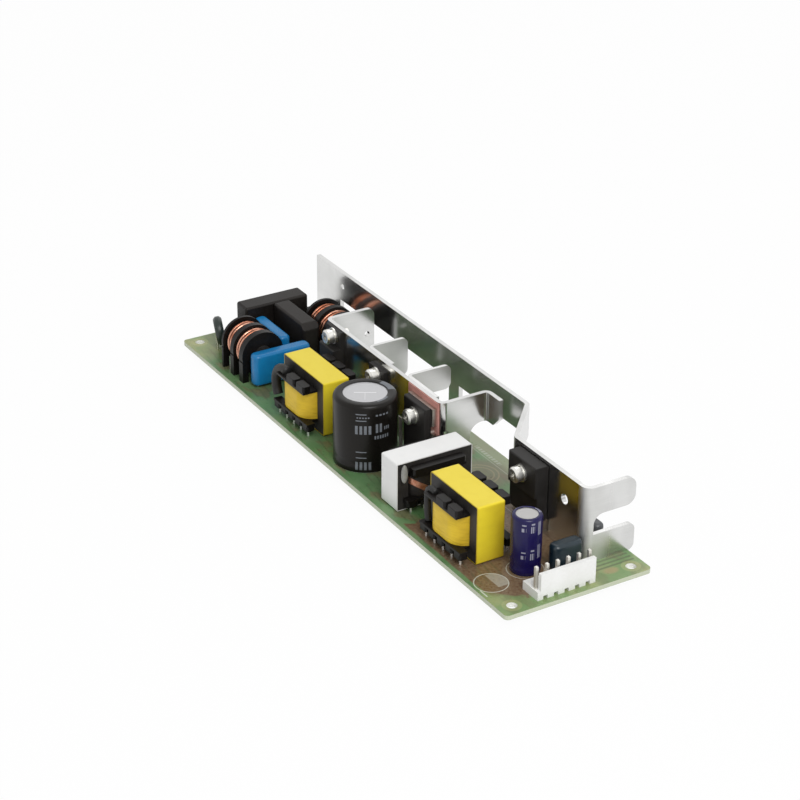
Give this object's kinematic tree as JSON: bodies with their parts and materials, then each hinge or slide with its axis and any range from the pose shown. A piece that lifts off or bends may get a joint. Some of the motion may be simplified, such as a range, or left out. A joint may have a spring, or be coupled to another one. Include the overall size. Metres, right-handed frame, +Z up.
{
  "type": "open-frame power supply",
  "caption": "Open-frame switching power supply on a long narrow board, with two bent sheet heatsinks, wound parts, capacitors and pin headers at its ends.",
  "frame": {"origin": "middle of the bounding box floor, level with the cut lead ends under the board", "axes": "+X along the board to the output header, +Y across the board to the long heatsink, +Z up from the board"},
  "size_m": [0.222, 0.0568, 0.0309],
  "materials": {
    "board": "green solder mask",
    "aluminium_sheet": "satin sheet",
    "steel_zinc": "bright zinc plate",
    "tinned": "tinned metal",
    "solder": "bright solder",
    "black_mould": "black moulded plastic",
    "ferrite": "dark ferrite",
    "white_mould": "white moulded plastic",
    "yellow_tape": "yellow film tape",
    "white_tape": "white film tape",
    "copper_wire": "lacquered copper wire",
    "blue_coat": "blue dipped coating",
    "teal_coat": "dark teal dipped coating",
    "green_coat": "dark green disc coating",
    "black_sleeve": "black shrink sleeve",
    "violet_sleeve": "violet shrink sleeve",
    "can": "plain aluminium can",
    "red_pad": "salmon red silicone pad"
  },
  "bodies": {
    "root": {"boost_choke_bobbin": "black_mould", "boost_choke_coil": "yellow_tape", "boost_choke_core": "ferrite", "boost_choke_pins": "tinned", "boost_choke_tape": "yellow_tape", "bulk_capacitor_can": "can", "bulk_capacitor_sleeve": "black_sleeve", "circuit_board": "board", "clamped_fin_1": "aluminium_sheet", "clamped_fin_2": "aluminium_sheet", "clamping_screws": "steel_zinc", "control_chips": "black_mould", "device_leads": "tinned", "film_capacitor_1": "blue_coat", "film_capacitor_2": "blue_coat", "film_capacitor_3": "teal_coat", "film_capacitor_4": "teal_coat", "fuse": "black_mould", "input_header_housing": "white_mould", "input_header_pins": "tinned", "line_capacitor_1": "black_mould", "line_capacitor_2": "black_mould", "line_choke_1_bobbin": "black_mould", "line_choke_1_rod": "ferrite", "line_choke_1_winding": "copper_wire", "line_choke_2_bobbin": "black_mould", "line_choke_2_rod": "ferrite", "line_choke_2_winding": "copper_wire", "main_transformer_bobbin": "black_mould", "main_transformer_coil": "copper_wire", "main_transformer_core": "ferrite", "main_transformer_pins": "tinned", "main_transformer_tape": "white_tape", "output_capacitor_can": "can", "output_capacitor_sleeve": "violet_sleeve", "output_choke_bobbin": "black_mould", "output_choke_coil": "yellow_tape", "output_choke_core": "ferrite", "output_choke_pins": "tinned", "output_choke_tape": "yellow_tape", "output_header_housing": "white_mould", "output_header_pins": "tinned", "output_heatsink": "aluminium_sheet", "output_rectifier_body": "black_mould", "output_rectifier_pad": "red_pad", "plain_washers": "steel_zinc", "primary_heatsink": "aluminium_sheet", "primary_transistor_back": "tinned", "primary_transistor_body": "black_mould", "primary_transistor_pad": "red_pad", "sleeved_leads": "black_sleeve", "small_device_1": "black_mould", "small_device_2": "black_mould", "solder_joints": "solder", "spring_washers": "steel_zinc", "surge_disc": "green_coat", "wire_leads": "tinned"}
  },
  "joints": []
}
